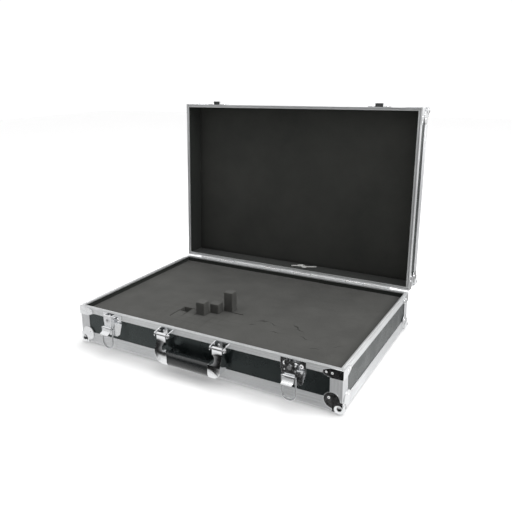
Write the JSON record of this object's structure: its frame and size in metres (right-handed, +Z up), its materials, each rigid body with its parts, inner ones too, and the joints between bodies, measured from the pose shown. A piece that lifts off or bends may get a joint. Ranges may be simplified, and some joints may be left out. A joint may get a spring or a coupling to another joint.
{
  "type": "equipment carry case",
  "caption": "Shallow aluminium-framed carry case with hinged lid, ball corners, lockable wire-bail latches, drop handle and pluck-out cube foam for a telescope.",
  "frame": {"origin": "centre of the bottom panel's underside; the edge extrusions reach 1.2 mm lower and the ball corners 5.7 mm lower", "axes": "+X to the case's right seen from the front, -Y towards the front with the handle and latches, +Z up; the lid hinges along X at the back"},
  "size_m": [0.569, 0.4825, 0.4623],
  "materials": {
    "panel": "dark charcoal laminate over thin board, satin",
    "extrusion": "bright anodised, fine lengthwise grooves",
    "chrome_fitting": "bright plated pressed steel",
    "pin_steel": "plain steel",
    "key_steel": "nickel plated",
    "grip": "glossy black moulding",
    "tray_foam": "dark grey open-cell foam",
    "lid_foam": "smooth dark foam"
  },
  "bodies": {
    "base": {"base_bottom_panel": "panel", "base_front_panel": "panel", "base_back_panel": "panel", "base_left_panel": "panel", "base_right_panel": "panel", "base_edge_extrusions": "extrusion", "base_corner_posts": "extrusion", "base_rim_front": "extrusion", "base_rim_back": "extrusion", "base_rim_left": "extrusion", "base_rim_right": "extrusion", "base_ball_corners": "chrome_fitting", "base_rim_braces": "chrome_fitting", "base_rivets": "chrome_fitting", "foam_base_pad": "tray_foam", "foam_cube_block": "tray_foam", "foam_cube_front": "tray_foam", "foam_cube_middle": "tray_foam", "foam_cube_rear": "tray_foam", "latch_plate_left": "chrome_fitting", "latch_plate_right": "chrome_fitting", "latch_pins": "pin_steel", "handle_bracket_left": "chrome_fitting", "handle_bracket_right": "chrome_fitting", "handle_pins": "pin_steel", "hinge_base_leaves": "chrome_fitting", "hinge_pins": "pin_steel"},
    "lid": {"lid_top_panel": "panel", "lid_front_panel": "panel", "lid_back_panel": "panel", "lid_left_panel": "panel", "lid_right_panel": "panel", "lid_edge_extrusions": "extrusion", "lid_corner_posts": "extrusion", "lid_rim_front": "extrusion", "lid_rim_back": "extrusion", "lid_rim_left": "extrusion", "lid_rim_right": "extrusion", "lid_ball_corners": "chrome_fitting", "lid_rim_braces": "chrome_fitting", "lid_rivets": "chrome_fitting", "lid_foam_lining": "lid_foam", "keeper_left": "chrome_fitting", "keeper_right": "chrome_fitting", "hinge_lid_leaves": "chrome_fitting", "key_long": "key_steel", "key_short": "key_steel", "key_ring": "key_steel"},
    "handle": {"handle_grip": "grip", "handle_strap": "chrome_fitting", "handle_end_left": "chrome_fitting", "handle_end_right": "chrome_fitting"},
    "lever_left": {"latch_lever_left": "chrome_fitting"},
    "bail_left": {"latch_bail_left": "chrome_fitting"},
    "lock_left": {"lock_cylinder_left": "pin_steel"},
    "lever_right": {"latch_lever_right": "chrome_fitting"},
    "bail_right": {"latch_bail_right": "chrome_fitting"},
    "lock_right": {"lock_cylinder_right": "pin_steel"}
  },
  "joints": [
    {"name": "lid_hinge", "type": "hinge", "parent": "base", "child": "lid", "pos_m": [0, 0.1888, 0.07445], "axis": [1, 0, 0], "range_deg": [0, 92.8]},
    {"name": "handle_swing", "type": "hinge", "parent": "base", "child": "handle", "pos_m": [0, -0.203, 0.065], "axis": [-1, 0, 0], "range_deg": [0, 110]},
    {"name": "lever_left", "type": "hinge", "parent": "base", "child": "lever_left", "pos_m": [-0.1945, -0.1975, 0.0705], "axis": [1, 0, 0], "range_deg": [-115, 0]},
    {"name": "bail_left", "type": "hinge", "parent": "lever_left", "child": "bail_left", "pos_m": [-0.1945, -0.2025, 0.049], "axis": [-1, 0, 0], "range_deg": [0, 196.29]},
    {"name": "lock_left", "type": "hinge", "parent": "lever_left", "child": "lock_left", "pos_m": [-0.1945, -0.198, 0.0639], "axis": [0, 1, 0], "range_deg": [0, 90]},
    {"name": "lever_right", "type": "hinge", "parent": "base", "child": "lever_right", "pos_m": [0.1945, -0.1975, 0.0705], "axis": [1, 0, 0], "range_deg": [-115, 0]},
    {"name": "bail_right", "type": "hinge", "parent": "lever_right", "child": "bail_right", "pos_m": [0.1945, -0.2025, 0.049], "axis": [-1, 0, 0], "range_deg": [0, 196.29]},
    {"name": "lock_right", "type": "hinge", "parent": "lever_right", "child": "lock_right", "pos_m": [0.1945, -0.198, 0.0639], "axis": [0, 1, 0], "range_deg": [0, 90]}
  ]
}
